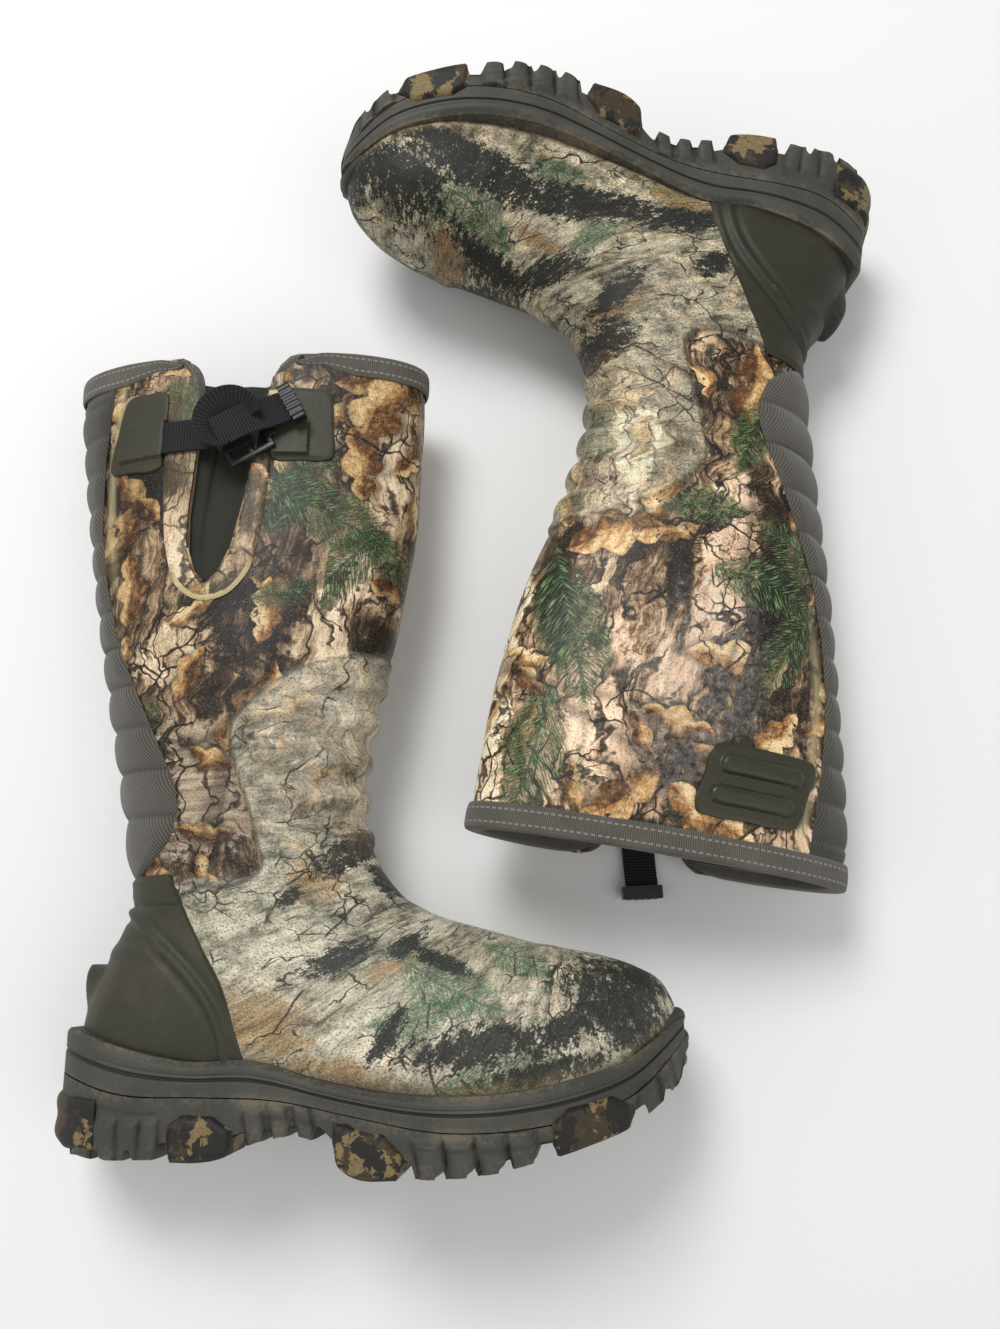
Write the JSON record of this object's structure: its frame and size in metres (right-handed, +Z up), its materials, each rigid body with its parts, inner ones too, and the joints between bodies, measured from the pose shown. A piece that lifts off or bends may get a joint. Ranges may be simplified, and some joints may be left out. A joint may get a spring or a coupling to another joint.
{
  "type": "insulated hunting boots",
  "caption": "Pair of tall insulated rubber hunting boots with lugged soles and strapped calf gussets, lying on their sides head to tail.",
  "frame": {"origin": "centre of the pair's bounding box, on the ground", "axes": "+Z up from the ground that the boots lie on; +Y along the right boot's shaft towards its collar; +X towards the right boot's toe"},
  "size_m": [0.4902, 0.6096, 0.1224],
  "materials": {
    "camo_rubber": "printed, satin",
    "foam": "closed-cell foam",
    "lining": "knitted",
    "grey_fabric": "ribbed stretch twill",
    "neoprene": "matte",
    "olive_rubber": "fine grain, satin",
    "sole_rubber": "matte",
    "camo_lugs": "printed, matte",
    "steel": "plain",
    "webbing": "ribbed",
    "black_plastic": "moulded"
  },
  "bodies": {
    "right_foot": {"right_foot_shell": "camo_rubber", "right_foot_insulation": "foam", "right_foot_lining": "lining", "right_foxing": "sole_rubber", "right_outsole": "sole_rubber", "right_midsole": "foam", "right_shank": "steel", "right_insole_board": "lining", "right_footbed": "lining", "right_heel_counter": "olive_rubber", "right_lug_heel_back": "camo_lugs", "right_lug_heel": "camo_lugs", "right_lug_waist": "camo_lugs", "right_lug_toe": "camo_lugs"},
    "right_shaft": {"right_shaft_shell": "camo_rubber", "right_shaft_insulation": "foam", "right_shaft_lining": "lining", "right_rear_panel": "grey_fabric", "right_gusset": "neoprene", "right_gusset_surround": "camo_rubber", "right_collar_binding": "grey_fabric", "right_rear_patch": "olive_rubber", "right_front_patch": "olive_rubber", "right_grip_patch": "olive_rubber", "right_strap": "webbing", "right_front_strap": "webbing"},
    "right_buckle": {"right_buckle": "black_plastic"},
    "right_tail": {"right_strap_tail": "webbing", "right_end_stop": "black_plastic"},
    "left_foot": {"left_foot_shell": "camo_rubber", "left_foot_insulation": "foam", "left_foot_lining": "lining", "left_foxing": "sole_rubber", "left_outsole": "sole_rubber", "left_midsole": "foam", "left_shank": "steel", "left_insole_board": "lining", "left_footbed": "lining", "left_heel_counter": "olive_rubber", "left_lug_heel_back": "camo_lugs", "left_lug_heel": "camo_lugs", "left_lug_waist": "camo_lugs", "left_lug_toe": "camo_lugs"},
    "left_shaft": {"left_shaft_shell": "camo_rubber", "left_shaft_insulation": "foam", "left_shaft_lining": "lining", "left_rear_panel": "grey_fabric", "left_gusset": "neoprene", "left_gusset_surround": "camo_rubber", "left_collar_binding": "grey_fabric", "left_rear_patch": "olive_rubber", "left_front_patch": "olive_rubber", "left_grip_patch": "olive_rubber", "left_strap": "webbing", "left_front_strap": "webbing", "left_buckle": "black_plastic"},
    "left_tail": {"left_strap_tail": "webbing", "left_end_stop": "black_plastic"}
  },
  "joints": [
    {"name": "left_boot_lift", "type": "slide", "parent": "right_foot", "child": "left_foot", "axis": [0, 0, 1], "range_m": [0, 0.2]},
    {"name": "right_ankle_flex", "type": "hinge", "parent": "right_foot", "child": "right_shaft", "pos_m": [-0.12628, -0.19942, 0.0459], "axis": [0.0953, 0.0056, -0.9954], "range_deg": [-12, 5], "stiffness_Nm_per_rad": 6},
    {"name": "left_ankle_flex", "type": "hinge", "parent": "left_foot", "child": "left_shaft", "pos_m": [0.13997, 0.18201, 0.04784], "axis": [-0.097, 0.0018, -0.9953], "range_deg": [-12, 5], "stiffness_Nm_per_rad": 6},
    {"name": "right_buckle_tilt", "type": "hinge", "parent": "right_shaft", "child": "right_buckle", "pos_m": [-0.14429, 0.07205, 0.09115], "axis": [0.4676, -0.8831, 0.0398], "range_deg": [0, 25]},
    {"name": "right_tail_slack", "type": "slide", "parent": "right_buckle", "child": "right_tail", "axis": [-0.8788, -0.4692, -0.0868], "range_m": [0, 0.008]},
    {"name": "left_tail_pull", "type": "slide", "parent": "left_shaft", "child": "left_tail", "axis": [0.0485, -0.9988, -0.0065], "range_m": [0, 0.015]}
  ]
}
